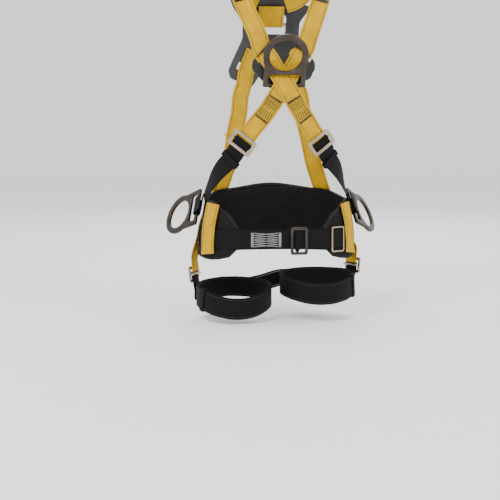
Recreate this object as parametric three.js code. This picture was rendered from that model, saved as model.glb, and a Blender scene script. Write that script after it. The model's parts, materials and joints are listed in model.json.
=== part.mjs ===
// Full-body fall-arrest harness with a padded work-positioning belt.
// Millimetres, +Z up, the wearer faces -Y, and +X is the wearer's left.
// The origin is the middle of the wearer's waist at half the height of the belt.
import * as THREE from 'three';
import { TessellateModifier } from 'three/addons/modifiers/TessellateModifier.js';

// ---------------------------------------------------------------- driving sizes
const WEB = 44; // width of the load-bearing webbing
const WEB_THICK = 2.4; // thickness of the webbing
const GAP = 0.4; // clearance between two pieces that lie on each other
const STEP = 20; // spacing of the stations along a strap
const FINE_STEP = 6; // spacing along the shoulder straps, which bend tightly on the chest

const SHOULDER_X = 100; // strap centre on top of the shoulder, from the centre line
const BUCKLE_X = 83; // chest adjuster, from the centre line
const BUCKLE_Z = 243; // height of the chest adjuster's upper rail

const CHEST_PLATE = { y: -126, z: 407, halfWidth: 74, rise: 64, drop: 55, thick: 4 };
const CROSS_Z = CHEST_PLATE.z - 41; // height at which the two straps cross on the chest
const CHEST_SLOT = { x: 39, z: 23, length: 52, width: 24, angle: 34 };
const BACK_PLATE = { y: 119, z: 512, thick: 4, lean: 7, bendU: 240, bendV: 300 };
const BACK_WINDOW = { length: 50, width: 20, topU: 77, topV: 80, lowU: 64, lowV: -98, turn: 26 };
const BACK_OPENING = { halfWidth: 39, low: -10, high: 38 };

const D_RING = { eye: 37.5, outer: 52.5, reach: 72, leg: 50, slot: 37, slotTop: 26, rail: 4.5, thick: 8 };
const SMALL_RING = { eye: 17, outer: 29, reach: 34, leg: 29, slot: 24, slotTop: 10, rail: 2.5, thick: 5 };

const PAD = { inner: 2, thick: 9 }; // waist pad: clearance to the wearer, thickness
const SHOULDER_PAD = { inner: 1.5, thick: 14, endThick: 3, width: 108 };
const BELT = 45; // height of the waist belt
const LEG_BAND = { width: 52, thick: 5 };

const ADJUSTER = { across: 64, along: 40, rail: 8, thick: 4, bar: -16 };
const WAIST_BUCKLE = { across: 66, along: 42, rail: 7, thick: 4, bar: -14 };
const BELT_SLIDE = { across: 62, along: 42, rail: 4, thick: 3 };
const RAIL_CLEARANCE = 3.1; // room behind a frame's rail for the frame to tilt
const BAR_RADIUS = 3; // round bar that the webbing turns over inside an adjuster

const CHEST_RING_LEAN = 27; // degrees the chest ring leans forward at rest
const DORSAL_RAIL_V = 15; // the dorsal ring's rail, up the back plate from its middle
const SIDE_RING = { x: 193.8, y: 15, z: 71 };
const SIDE_RING_TURN = 57; // degrees the side ring is turned back from straight out

const OVER_PAD = PAD.inner + PAD.thick + 1.2; // lift of webbing that lies on the pad
const OVER_STRIP = OVER_PAD + WEB_THICK + 0.9; // one layer further out
const OVER_BELT = OVER_PAD + WEB_THICK + 1.2;
const STRAP_OVER_PAD = SHOULDER_PAD.inner + SHOULDER_PAD.thick + 0.9;
const PAD_BEARING = 146; // the pad's ends, round from the middle of the back
const WAIST = { a: 190, b: 125 }; // ellipse that level routes start from

const WAIST_BUCKLE_X = 22;
const WAIST_BUCKLE_DROP = -3;
const BELT_SLIDE_X = 138;
// Lift of a leg band off the thigh, on its outer and inner side, and its heights round the leg.
const LEG_BAND_LIFT = { outer: 12, inner: 6 };
const LEG_BAND_Z = {
  left: { outer: -118, front: -137, inner: -122, back: -120 },
  right: { outer: -148, front: -170, inner: -146, back: -142 },
};
const SLEEVE = { from: 190, to: 285 }; // stretch of the shoulder strap under the sleeve
const KEEPER_LENGTH = 14; // length of a webbing keeper along its strap
// Room all round a strap inside its keeper.
const KEEPER_PLAY = { chest: 2.3, leg: 1.2 };
const INDICATOR_AT = 215; // fall indicator, along the back strap from its upper end
const INDICATOR_RADIUS = 3.5;
const TAG = { width: 36, thick: 0.8 };

const LEFT = 1;
const RIGHT = -1;
const SIDES = [
  { name: 'right', s: RIGHT },
  { name: 'left', s: LEFT },
];

// ---------------------------------------------------------------- finishes
const finish = (color, roughness, metalness) => new THREE.MeshStandardMaterial({ color, roughness, metalness });
const YELLOW_WEB = finish('#e0b41c', 0.75, 0);
const BLACK_WEB = finish('#121315', 0.8, 0);
const BLACK_PAD = finish('#17130f', 0.9, 0);
const LABEL_SLEEVE = finish('#4a4542', 0.6, 0);
const GREY_PLASTIC = finish('#4b4d50', 0.4, 0);
const BLACK_PLASTIC = finish('#1b1916', 0.45, 0);
const DARK_STEEL = finish('#4b3a33', 0.35, 0.9);
const PALE_STEEL = finish('#d8c3ad', 0.35, 0.9);
const CHAMPAGNE_STEEL = finish('#b8aa9c', 0.3, 0.9);
const GUNMETAL = finish('#3a3836', 0.3, 0.9);
const TAG_WHITE = finish('#e8e8e4', 0.6, 0);

// ---------------------------------------------------------------- small vector helpers
const vec = (x, y, z) => new THREE.Vector3(x, y, z);
const mix = (a, b, t) => a + (b - a) * t;
const smooth = (t) => t * t * (3 - 2 * t);
const radians = THREE.MathUtils.degToRad;

// ---------------------------------------------------------------- the wearer
// Sections of the torso, from the hips to the neck: height, half width, half depth and
// middle in depth. They are joined by a smooth step, so each one is a widest or narrowest.
const TORSO = [
  { z: -10, a: 178, b: 116, y: 4 },
  { z: 172, a: 156, b: 102, y: 0 },
  { z: 400, a: 188, b: 120, y: 2 },
  { z: 610, a: 48, b: 48, y: 14 },
];
const TORSO_POWER = 2.3;
const TORSO_FLOOR = -75;
const SHOULDER = { inner: vec(45, 14, 596), outer: vec(170, 14, 548), radius: 46, blend: 22 };
const THIGH = { x: 102, y: 4, a: 80, b: 88, blend: 12 };

function torsoSection(z) {
  const last = TORSO[TORSO.length - 1];
  if (z <= TORSO[0].z) return TORSO[0];
  if (z >= last.z) return last;
  const i = TORSO.findIndex((section) => section.z > z);
  const [low, high] = [TORSO[i - 1], TORSO[i]];
  const t = smooth((z - low.z) / (high.z - low.z));
  return { a: mix(low.a, high.a, t), b: mix(low.b, high.b, t), y: mix(low.y, high.y, t) };
}

function smoothMin(a, b, k) {
  const h = Math.max(k - Math.abs(a - b), 0) / k;
  return Math.min(a, b) - (h * h * k) / 4;
}

// Signed measure of how far a point lies outside the wearer's skin.
function wearer(p) {
  const section = torsoSection(p.z);
  const ring = (Math.abs(p.x) / section.a) ** TORSO_POWER + (Math.abs(p.y - section.y) / section.b) ** TORSO_POWER;
  const torso = Math.max((ring ** (1 / TORSO_POWER) - 1) * section.b, TORSO_FLOOR - p.z);
  const q = vec(Math.abs(p.x), p.y, p.z);
  const axis = new THREE.Line3(SHOULDER.inner, SHOULDER.outer);
  const shoulder = axis.closestPointToPoint(q, true, vec(0, 0, 0)).distanceTo(q) - SHOULDER.radius;
  const thighRing = Math.hypot((q.x - THIGH.x) / THIGH.a, (q.y - THIGH.y) / THIGH.b);
  const thigh = Math.max((thighRing - 1) * THIGH.a, p.z + 40);
  return smoothMin(smoothMin(torso, shoulder, SHOULDER.blend), thigh, THIGH.blend);
}

function slope(p) {
  const h = 0.5;
  const along = (dx, dy, dz) => wearer(vec(p.x + dx, p.y + dy, p.z + dz)) - wearer(vec(p.x - dx, p.y - dy, p.z - dz));
  return vec(along(h, 0, 0), along(0, h, 0), along(0, 0, h)).divideScalar(2 * h);
}

// The point on the skin nearest to p, lifted off it, and the outward direction there.
function onSkin(p, lift) {
  const q = p.clone();
  for (let i = 0; i < 10; i += 1) {
    const g = slope(q);
    q.addScaledVector(g, -wearer(q) / g.lengthSq());
  }
  const n = slope(q).normalize();
  return { p: q.addScaledVector(n, lift), n };
}

// ---------------------------------------------------------------- routes and stations
// A route is a list of control points. on() lies on the wearer at a lift; free() is held
// by hardware, with its outward direction given.
const on = (x, y, z, lift) => ({ p: onSkin(vec(x, y, z), lift).p, n: vec(0, 0, 0), lift, held: 0 });
const free = (p, n) => ({ p, n, lift: 0, held: 1 });

function stationsOf(route, step = STEP) {
  const curve = new THREE.CatmullRomCurve3(route.map((c) => c.p), false, 'centripetal');
  const count = Math.max(2, Math.round(curve.getLength() / step));
  const stations = [];
  for (let i = 0; i <= count; i += 1) {
    const t = curve.getUtoTmapping(i / count, 0) * (route.length - 1);
    const k = Math.min(Math.floor(t), route.length - 2);
    const [a, b, f] = [route[k], route[k + 1], t - k];
    const held = mix(a.held, b.held, f);
    const lift = mix(a.held ? b.lift : a.lift, b.held ? a.lift : b.lift, f);
    const p = curve.getPointAt(i / count);
    const skin = held < 1 ? onSkin(p, lift) : { p, n: vec(0, 0, 0) };
    const n = skin.n.multiplyScalar(1 - held).addScaledVector(a.n, a.held * (1 - f)).addScaledVector(b.n, b.held * f);
    stations.push({ p: skin.p.lerp(p, held), n });
  }
  return squared(stations);
}

// Gives every station its direction of travel and squares its normal to that.
function squared(stations) {
  const last = stations.length - 1;
  return stations.map(({ p, n }, i) => {
    const t = stations[Math.min(i + 1, last)].p.clone().sub(stations[Math.max(i - 1, 0)].p).normalize();
    const normal = n.clone().addScaledVector(t, -n.dot(t)).normalize();
    return { p, n: normal, t, across: normal.clone().cross(t) };
  });
}

// The stations between two distances along a strap, lifted off it.
function stretch(stations, from, to, lift) {
  let distance = 0;
  return stations.filter((station, i) => {
    if (i > 0) distance += station.p.distanceTo(stations[i - 1].p);
    return distance >= from && distance <= to;
  }).map((station) => ({ ...station, p: station.p.clone().addScaledVector(station.n, lift) }));
}

// ---------------------------------------------------------------- solids
function bend(geometry, place) {
  const at = geometry.attributes.position;
  for (let i = 0; i < at.count; i += 1) {
    const q = place(at.getX(i), at.getY(i), at.getZ(i));
    at.setXYZ(i, q.x, q.y, q.z);
  }
  return geometry;
}

// A flat strap along stations, its inner face on them. With a drape, its inner face is cut
// into columns and each corner of them is settled by the drape.
function strap(stations, width = WEB, thick = WEB_THICK, drape = null) {
  const last = stations.length - 1;
  return bend(new THREE.BoxGeometry(width, thick, 1, drape ? 4 : 1, 1, last), (x, y, z) => {
    const s = stations[Math.round((z + 0.5) * last)];
    const q = s.p.clone().addScaledVector(s.across, x);
    return (drape ? drape(q) : q).addScaledVector(s.n, y + thick / 2);
  });
}

// A pad that hugs the wearer: edges(f) gives its two edges across the stations.
function pad(stations, edges, inner, thickAt, columns) {
  const last = stations.length - 1;
  return bend(new THREE.BoxGeometry(1, 1, 1, columns, 1, last), (x, y, z) => {
    const s = stations[Math.round((z + 0.5) * last)];
    const [low, high] = edges(z + 0.5);
    const q = s.p.clone().addScaledVector(s.across, mix(low, high, x + 0.5));
    return onSkin(q, y > 0 ? inner + thickAt(z + 0.5) : inner).p;
  });
}

function flat(shape, thick, curveSegments = 8) {
  const geometry = new THREE.ExtrudeGeometry(shape, { depth: thick, bevelEnabled: false, curveSegments });
  return geometry.translate(0, 0, -thick / 2);
}

function rounded(shape, halfX, low, high, r) {
  shape.moveTo(-halfX + r, low).lineTo(halfX - r, low).quadraticCurveTo(halfX, low, halfX, low + r);
  shape.lineTo(halfX, high - r).quadraticCurveTo(halfX, high, halfX - r, high);
  shape.lineTo(-halfX + r, high).quadraticCurveTo(-halfX, high, -halfX, high - r);
  shape.lineTo(-halfX, low + r).quadraticCurveTo(-halfX, low, -halfX + r, low);
  return shape;
}

// A closed outline through points, its corners rounded by r.
function roundedOutline(points, r) {
  const shape = new THREE.Shape();
  points.forEach(([x, y], i) => {
    const corner = new THREE.Vector2(x, y);
    const before = new THREE.Vector2(...points.at(i - 1)).sub(corner);
    const after = new THREE.Vector2(...points[(i + 1) % points.length]).sub(corner);
    const a = corner.clone().addScaledVector(before.normalize(), r);
    const b = corner.clone().addScaledVector(after.normalize(), r);
    if (i === 0) shape.moveTo(a.x, a.y);
    else shape.lineTo(a.x, a.y);
    shape.quadraticCurveTo(x, y, b.x, b.y);
  });
  shape.closePath();
  return shape;
}

// A slot of a length and width, turned and placed, as a hole for a shape.
function turnedSlot(x, y, length, width, angle) {
  const c = Math.cos(radians(angle));
  const s = Math.sin(radians(angle));
  const corner = (u, v) => [x + u * c - v * s, y + u * s + v * c];
  const [l, w] = [length / 2, width / 2];
  return roundedOutline([corner(-l, -w), corner(l, -w), corner(l, w), corner(-l, w)], 4);
}

// D-shaped ring: its hinge rail lies along X through the origin, its eye is up +Y.
function ringGeometry(ring, segments) {
  const shape = new THREE.Shape();
  const start = radians(-24);
  shape.moveTo(-ring.leg, -ring.rail).lineTo(ring.leg, -ring.rail);
  shape.lineTo(ring.outer * Math.cos(start), ring.reach + ring.outer * Math.sin(start));
  shape.absarc(0, ring.reach, ring.outer, start, Math.PI - start, false);
  shape.closePath();
  const eye = new THREE.Path().absarc(0, ring.reach, ring.eye, 0, 2 * Math.PI, true);
  shape.holes.push(eye, rounded(new THREE.Path(), ring.slot, ring.rail, ring.slotTop, 3));
  return flat(shape, ring.thick, segments);
}

// Rectangular frame: its upper rail lies along X through the origin, its window is down -Y.
function frameGeometry({ across, along, rail, thick }) {
  const shape = rounded(new THREE.Shape(), across / 2, rail / 2 - along, rail / 2, 5);
  shape.holes.push(rounded(new THREE.Path(), across / 2 - rail, 1.5 * rail - along, -rail / 2, 2));
  return flat(shape, thick, 4);
}

// Loop of webbing about a ring's rail: rail along X, tails running to -Y, pinched together
// and dropped by a distance in Z; share of the drop is reached at the knee.
function loopStations(frame, rail, { tail, drop, knee = tail / 2, share = 0.45, wrap = 90 }) {
  const r = rail + GAP;
  const h = (WEB_THICK + 2 * GAP) / 2;
  const path = [[-tail, h + drop], [-knee, mix(r, h + drop, share)]];
  for (let a = wrap; a >= -90; a -= 30) path.push([r * Math.cos(radians(a)), r * Math.sin(radians(a))]);
  path.push([-knee, mix(-r, drop - h, share)], [-tail, drop - h]);
  const last = path.length - 1;
  const stations = path.map(([y, z], i) => {
    const [before, after] = [path[Math.max(i - 1, 0)], path[Math.min(i + 1, last)]];
    const n = vec(0, before[1] - after[1], after[0] - before[0]).normalize();
    return { p: vec(0, y, z).applyMatrix4(frame), n: n.transformDirection(frame) };
  });
  return squared(stations);
}

// Keeper: a short flat sleeve about a strap; the strap runs along Y, outward is +Z.
function keeperGeometry(width, thick, length, wall, play) {
  const shape = rounded(new THREE.Shape(), width / 2 + play + wall, -wall - play, thick + wall + play, 1.5);
  shape.holes.push(rounded(new THREE.Path(), width / 2 + play, -play, thick + play, 0.4));
  const geometry = new THREE.ExtrudeGeometry(shape, { depth: length, bevelEnabled: false, curveSegments: 2 });
  return geometry.translate(0, 0, -length / 2).rotateX(Math.PI / 2);
}

// ---------------------------------------------------------------- assembling
const group = new THREE.Group();

function add(name, geometry, material, frame = new THREE.Matrix4()) {
  const mesh = new THREE.Mesh(geometry, material);
  mesh.name = name;
  mesh.applyMatrix4(frame);
  group.add(mesh);
}

// A frame with its X, Y and Z directions and its origin.
function frameOf(origin, x, y) {
  const z = x.clone().cross(y);
  return new THREE.Matrix4().makeBasis(x, y, z).setPosition(origin);
}

// The frame of a station: X across, Y back along the strap, Z outward.
function stationFrame(s) {
  return frameOf(s.p, s.across, s.t.clone().negate());
}

// ---------------------------------------------------------------- plates
const chestFace = CHEST_PLATE.y - CHEST_PLATE.thick;

function chestPlate() {
  const { halfWidth: w, rise, drop, thick } = CHEST_PLATE;
  const side = 10;
  const outline = [[w, side], [26, rise], [-26, rise], [-w, side], [-w, -side], [-28, -drop], [28, -drop], [w, -side]];
  const shape = roundedOutline(outline, 9);
  for (const s of [LEFT, RIGHT]) {
    const { x, z, length, width, angle } = CHEST_SLOT;
    shape.holes.push(turnedSlot(s * x, z, length, width, -s * angle));
  }
  const middle = vec(0, CHEST_PLATE.y - thick / 2, CHEST_PLATE.z);
  add('chest_plate', flat(shape, thick, 3), BLACK_PLASTIC, frameOf(middle, vec(1, 0, 0), vec(0, 0, 1)));
}

// A point of the back plate: u across, v up it, w outward from its inner face.
function backPoint(u, v, w) {
  const { y, z, lean, bendU, bendV } = BACK_PLATE;
  const depth = (bendU + w) * Math.cos(u / bendU) - bendU - Math.max(v, 0) ** 2 / (2 * bendV);
  const [c, s] = [Math.cos(radians(lean)), Math.sin(radians(lean))];
  return vec((bendU + w) * Math.sin(u / bendU), y + depth * c - v * s, z + v * c + depth * s);
}

function backNormal(u, v) {
  const du = backPoint(u + 1, v, 0).sub(backPoint(u - 1, v, 0));
  const dv = backPoint(u, v + 1, 0).sub(backPoint(u, v - 1, 0));
  return dv.cross(du).normalize();
}

const facing = (x, z) => vec(x, -1, z).normalize();
const behindPlate = (u, v, w) => free(backPoint(u, v, w), backNormal(u, v));

function backPlate() {
  const half = [[0, 86], [56, 116], [72, 119], [110, 80], [101, 58], [73, 20], [72, -20], [112, -100], [106, -120],
    [46, -144], [0, -72]];
  const mirrored = half.slice(1, -1).reverse().map(([u, v]) => [-u, v]);
  const shape = roundedOutline([...half, ...mirrored].reverse(), 7);
  const { length, width, topU, topV, lowU, lowV, turn } = BACK_WINDOW;
  for (const s of [LEFT, RIGHT]) {
    shape.holes.push(turnedSlot(s * topU, topV, length, width, -s * turn));
    shape.holes.push(turnedSlot(s * lowU, lowV, length, width, s * turn));
  }
  const { halfWidth, low, high } = BACK_OPENING;
  shape.holes.push(rounded(new THREE.Path(), halfWidth, low, high, 8));
  const sheet = new TessellateModifier(34, 6).modify(flat(shape, BACK_PLATE.thick, 3));
  const half2 = BACK_PLATE.thick / 2;
  add('dorsal_plate', bend(sheet, (x, y, z) => backPoint(-x, y, z + half2)), GREY_PLASTIC);
}

// ---------------------------------------------------------------- rings and their loops
const railRadius = (ring) => Math.hypot(ring.rail, ring.thick / 2);

function addLoop(name, frame, ring, loop) {
  add(name, strap(loopStations(frame, railRadius(ring), loop), loop.width), loop.webbing);
}

function chestRing() {
  const lean = radians(CHEST_RING_LEAN);
  const pivot = vec(0, chestFace - GAP - railRadius(D_RING), CROSS_Z - 3);
  const frame = frameOf(pivot, vec(1, 0, 0), vec(0, -Math.sin(lean), Math.cos(lean)));
  add('chest_d_ring', ringGeometry(D_RING, 10), DARK_STEEL, frame);
}

function dorsalRing() {
  const outward = BACK_PLATE.thick + D_RING.thick / 2 + 1.2;
  const n = backNormal(0, 0);
  const down = n.clone().cross(vec(1, 0, 0)).normalize();
  const frame = frameOf(backPoint(0, DORSAL_RAIL_V, outward), down.clone().cross(n), down);
  add('dorsal_d_ring', ringGeometry(D_RING, 10), PALE_STEEL, frame);
  const loop = { tail: 44, drop: -outward - 13.4, knee: 22, share: 0.88, wrap: 150, width: 64, webbing: YELLOW_WEB };
  addLoop('dorsal_ring_loop', frame, D_RING, loop);
}

function sideRings() {
  for (const { name, s } of SIDES) {
    const rail = vec(-s * 0.18, 0.51, 0.84).normalize();
    const level = vec(0, rail.z, -rail.y).normalize();
    const outward = rail.clone().cross(level).multiplyScalar(-s).normalize();
    const turn = radians(SIDE_RING_TURN);
    const along = level.clone().multiplyScalar(Math.sin(turn)).addScaledVector(outward, Math.cos(turn));
    const pivot = vec(s * SIDE_RING.x, SIDE_RING.y, SIDE_RING.z);
    const across = rail.clone().multiplyScalar(-s);
    add(`side_${name}_d_ring`, ringGeometry(D_RING, 10), DARK_STEEL, frameOf(pivot, across, along));
    const loop = { tail: 34, drop: -7.5, width: WEB, webbing: BLACK_WEB };
    addLoop(`side_${name}_ring_loop`, frameOf(pivot, across, level), D_RING, loop);
  }
}

function shoulderRings(straps) {
  for (const { name, s } of SIDES) {
    const top = straps[name].reduce((best, station) => (station.p.z > best.p.z ? station : best));
    const n = top.n.clone();
    const lift = WEB_THICK + 2 * GAP + railRadius(SMALL_RING) + GAP + WEB_THICK;
    const pivot = top.p.clone().addScaledVector(n, lift);
    const forward = top.t.clone();
    const across = forward.clone().cross(n);
    const upright = frameOf(pivot, across.clone().negate(), n);
    add(`shoulder_${name}_d_ring`, ringGeometry(SMALL_RING, 8), CHAMPAGNE_STEEL, upright);
    const loop = { tail: 26, drop: -2.2, width: WEB, webbing: BLACK_WEB };
    addLoop(`shoulder_${name}_ring_loop`, frameOf(pivot, across, forward), SMALL_RING, loop);
  }
}

// ---------------------------------------------------------------- adjusters
// The strap above an adjuster ends behind its upper rail; the strap below it rises through
// the window, over a round bar, and leaves behind the lower rail.
const held = (frame, y, z) => free(vec(0, y, z).applyMatrix4(frame), vec(0, 0, 1).transformDirection(frame));

function endBehindRail(frame, size) {
  const end = size.bar + BAR_RADIUS + 0.95;
  const z = -size.thick / 2 - RAIL_CLEARANCE - WEB_THICK;
  return [held(frame, 22, z), held(frame, 8, z), held(frame, end, z)];
}

function startInWindow(frame, size) {
  const low = -size.thick / 2 - GAP - WEB_THICK;
  const high = low + 1.2;
  const start = -size.rail / 2 - 4.5;
  const rail = size.rail - size.along;
  return [held(frame, start, high), held(frame, mix(start, rail, 0.5), high), held(frame, rail + 6, low - 0.4),
    held(frame, rail - size.rail, low - 0.45)];
}

function adjuster(name, frame, size, metal) {
  add(name, frameGeometry(size), metal, frame);
  const high = -size.thick / 2 - GAP - WEB_THICK + 1.2;
  const bar = new THREE.CylinderGeometry(BAR_RADIUS, BAR_RADIUS, size.across - 6, 12).rotateZ(Math.PI / 2);
  const place = frame.clone().multiply(new THREE.Matrix4().makeTranslation(0, size.bar, high - 2 * GAP - BAR_RADIUS));
  add(`${name}_bar`, bar, metal, place);
}

function chestAdjusterFrame(s) {
  const { p, n } = onSkin(vec(s * BUCKLE_X, -100, BUCKLE_Z), 14);
  const up = vec(s * 40 - p.x, -127 - p.y, 305 - p.z);
  const along = up.addScaledVector(n, -up.dot(n)).normalize();
  return frameOf(p, along.clone().cross(n), along);
}

function legAdjusterFrame(s) {
  const along = vec(s * 0.1, 0.08, 0.98).normalize();
  const outward = vec(s * 0.92, 0.38, 0.08);
  const n = outward.addScaledVector(along, -outward.dot(along)).normalize();
  return frameOf(vec(s * 205, 42, s === LEFT ? -66 : -84), along.clone().cross(n), along);
}

// ---------------------------------------------------------------- straps
const chestLayer = (s) => (s === RIGHT ? WEB_THICK + 2.8 : 0.8);

// Depth of the inner face of a crossing strap at a height: on the plate, then out over the
// chest ring's rail, then back towards the wearer.
function chestDepth(s, z) {
  const onPlate = chestFace - GAP - chestLayer(s);
  const overRail = onPlate - 2 * railRadius(D_RING) - 2.4;
  const table = [
    [-66, overRail + 15], [-26, overRail + 2], [-12, overRail], [6, overRail], [23, onPlate], [94, onPlate],
  ].map(([above, depth]) => [CROSS_Z + above, depth]);
  const k = Math.max(1, table.findIndex(([height]) => height >= z));
  const [[low, a], [high, b]] = [table[k - 1], table[k]];
  return mix(a, b, (z - low) / (high - low));
}

// Drapes a point of a shoulder strap between the chest plate's slot and the lower chest.
function drapeOnChest(s, q) {
  const top = CHEST_PLATE.z + CHEST_SLOT.z - 16;
  const low = CROSS_Z - 66;
  if (q.y > -100 || q.z < low || q.z > top) return q;
  const share = smooth(Math.min(1, (q.z - low) / 25)) * smooth(Math.min(1, (top - q.z) / 8));
  return q.setY(mix(q.y, chestDepth(s, q.z), share));
}

function shoulderStrap(s) {
  const layer = chestLayer(s);
  const behind = CHEST_PLATE.y + GAP + WEB_THICK + 0.6;
  const front = chestFace - GAP - layer;
  const slotTurn = radians(CHEST_SLOT.angle);
  const across = vec(-s * Math.cos(slotTurn), 0, Math.sin(slotTurn));
  const down = vec(-s * Math.sin(slotTurn), 0, -Math.cos(slotTurn));
  const slotPoint = (d, y, n) => free(
    vec(s * CHEST_SLOT.x + d * down.x, y, CHEST_PLATE.z + CHEST_SLOT.z + d * down.z), n,
  );
  const slotFacing = down.clone().multiplyScalar(20).setY(front - behind).cross(across).multiplyScalar(-s).normalize();
  const over = (x, above) => free(vec(s * x, chestDepth(s, CROSS_Z + above), CROSS_Z + above), facing(0, 0));
  const adjusterFrame = chestAdjusterFrame(-s);
  return stationsOf([
    behindPlate(s * 36, 64, -1.6 - WEB_THICK),
    behindPlate(s * 58, 72, -2.2 - WEB_THICK),
    behindPlate(s * 80, 88, -4.8 - WEB_THICK),
    behindPlate(s * 90, 107, -8 - WEB_THICK),
    on(s * (SHOULDER_X + 1), 50, 612, STRAP_OVER_PAD + 1),
    on(s * (SHOULDER_X + 3), 14, 640, STRAP_OVER_PAD),
    on(s * SHOULDER_X, -30, 608, STRAP_OVER_PAD),
    free(vec(s * 95, -78, 568), facing(0, 0.5)),
    free(vec(s * 78, -103, 522), facing(0, 0.32)),
    free(vec(s * 59, behind, CHEST_PLATE.z + 67), facing(0, 0.05)),
    slotPoint(-22, behind, facing(0, 0)),
    slotPoint(-12, behind, facing(0, 0)),
    slotPoint(0, (behind + front) / 2, slotFacing),
    slotPoint(12, front, facing(0, 0)),
    over(24.6, 41),
    over(12.6, 21),
    over(0, 0),
    over(-12, -20),
    free(vec(-s * 39, chestDepth(s, CROSS_Z - 63), CROSS_Z - 63), facing(-s * 0.1, -0.25)),
    ...endBehindRail(adjusterFrame, ADJUSTER),
  ], FINE_STEP);
}

function frontStrap(s) {
  return stationsOf([
    ...startInWindow(chestAdjusterFrame(s), ADJUSTER),
    on(s * 118, -75, 190, 4),
    on(s * 146, -45, 153, 4),
    on(s * 165, -25, 124, 7),
    on(s * 176, -14, 104, OVER_PAD - 1.4),
    on(s * 180, -9, 90, OVER_PAD - 0.8),
  ], 15);
}

function backStrap(s) {
  return stationsOf([
    behindPlate(s * 42, -52, -4.4),
    behindPlate(s * 52, -76, -4.4),
    behindPlate(s * 64, -105, -4.6),
    behindPlate(s * 70, -138, -5),
    on(s * 75, 110, 345, 5),
    on(s * 80, 105, 305, 3),
    on(s * 92, 95, 254, 3),
    on(s * 106, 85, 180, 3),
    on(s * 112, 85, 150, OVER_PAD + 0.5),
    on(s * 128, 80, 90, OVER_STRIP + 1),
    on(s * 150, 66, 40, OVER_BELT + 1),
    on(s * 165, 52, 5, OVER_BELT + 0.4),
    free(vec(s * 190, 50, -26), vec(s * 0.92, 0.4, 0)),
    ...endBehindRail(legAdjusterFrame(s), ADJUSTER),
  ], 12);
}

function legRiser(s) {
  const top = LEG_BAND_Z[s === LEFT ? 'left' : 'right'].outer + LEG_BAND.width / 2;
  const lift = LEG_BAND_LIFT.outer + LEG_BAND.thick + 0.8;
  return stationsOf([
    ...startInWindow(legAdjusterFrame(s), ADJUSTER),
    on(s * 182, 36, top - 18, lift),
    on(s * 182, 32, top - 30, lift),
    on(s * 182, 28, top - 44, lift),
  ], 12);
}

function legBand(name, s) {
  const height = LEG_BAND_Z[name];
  const route = [];
  for (let turn = -6; turn <= 352; turn += 358 / 16) {
    const c = Math.cos(radians(turn));
    const f = Math.sin(radians(turn));
    const level = mix(height.inner, height.outer, (1 + c) / 2);
    const z = f > 0 ? mix(level, height.front, f ** 2) : mix(level, height.back, f ** 2);
    const lift = mix(LEG_BAND_LIFT.inner, LEG_BAND_LIFT.outer, smooth(Math.max(c, 0)));
    route.push(on(s * (THIGH.x + THIGH.a * c), THIGH.y - THIGH.b * f, z, lift));
  }
  return stationsOf(route, 12);
}

function seatStrap() {
  const lift = LEG_BAND_LIFT.inner + LEG_BAND.thick + 1.4;
  const { left, right } = LEG_BAND_Z;
  return stationsOf([
    on(-92, 92, right.back, lift),
    on(-58, 84, right.back + 3, lift),
    free(vec(-22, 79, right.back + 12), vec(-0.2, 1, 0).normalize()),
    free(vec(22, 79, left.back + 2), vec(0.2, 1, 0).normalize()),
    on(58, 84, left.back, lift),
    on(92, 92, left.back - 2, lift),
  ]);
}

// ---------------------------------------------------------------- waist pad and what lies on it
// Half height of the pad, above and below its middle line, against its distance round from
// the middle of the back as a share of half its length.
const PAD_EDGE = [
  { f: 0, top: 122, bottom: -46 },
  { f: 0.35, top: 108, bottom: -46 },
  { f: 0.62, top: 90, bottom: -42 },
  { f: 0.8, top: 86, bottom: -48 },
  { f: 0.92, top: 62, bottom: -44 },
  { f: 1, top: 28, bottom: -18 },
];

function padEdges(f) {
  const share = Math.min(Math.abs(2 * f - 1), 1);
  const k = Math.max(1, PAD_EDGE.findIndex((edge) => edge.f >= share));
  const [a, b] = [PAD_EDGE[k - 1], PAD_EDGE[k]];
  const t = smooth((share - a.f) / (b.f - a.f));
  return [mix(a.bottom, b.bottom, t), mix(a.top, b.top, t)];
}

// A level route round the wearer between two bearings: 0 is the middle of the back, and
// positive bearings are on the wearer's left.
function levelRoute(from, to, z, lift, count = 14) {
  const route = [];
  for (let i = 0; i <= count; i += 1) {
    const bearing = radians(mix(from, to, i / count));
    route.push(on(WAIST.a * Math.sin(bearing), WAIST.b * Math.cos(bearing), z, lift));
  }
  return route;
}

function waistPad() {
  const stations = stationsOf(levelRoute(PAD_BEARING, -PAD_BEARING, 0, PAD.inner, 20), 22);
  add('waist_pad', pad(stations, padEdges, PAD.inner, () => PAD.thick, 5), BLACK_PAD);
}

function backBelt() {
  add('back_belt', strap(stationsOf(levelRoute(92, -92, 0, OVER_PAD)), BELT), BLACK_WEB);
}

function padStrips() {
  for (const { name, s } of SIDES) {
    const front = stationsOf([
      on(s * 163, -66, 84, OVER_PAD), on(s * 168, -64, 34, OVER_STRIP), on(s * 170, -62, -25, OVER_STRIP),
      on(s * 168, -62, -38, OVER_STRIP - 1.5),
    ]);
    add(`hip_strip_${name}`, strap(front), YELLOW_WEB);
    const lift = OVER_PAD - 0.4;
    const back = stationsOf([on(s * 158, 66, 84, lift), on(s * 162, 62, 30, lift)]);
    add(`back_strip_${name}`, strap(back, 36), YELLOW_WEB);
  }
}

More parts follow.
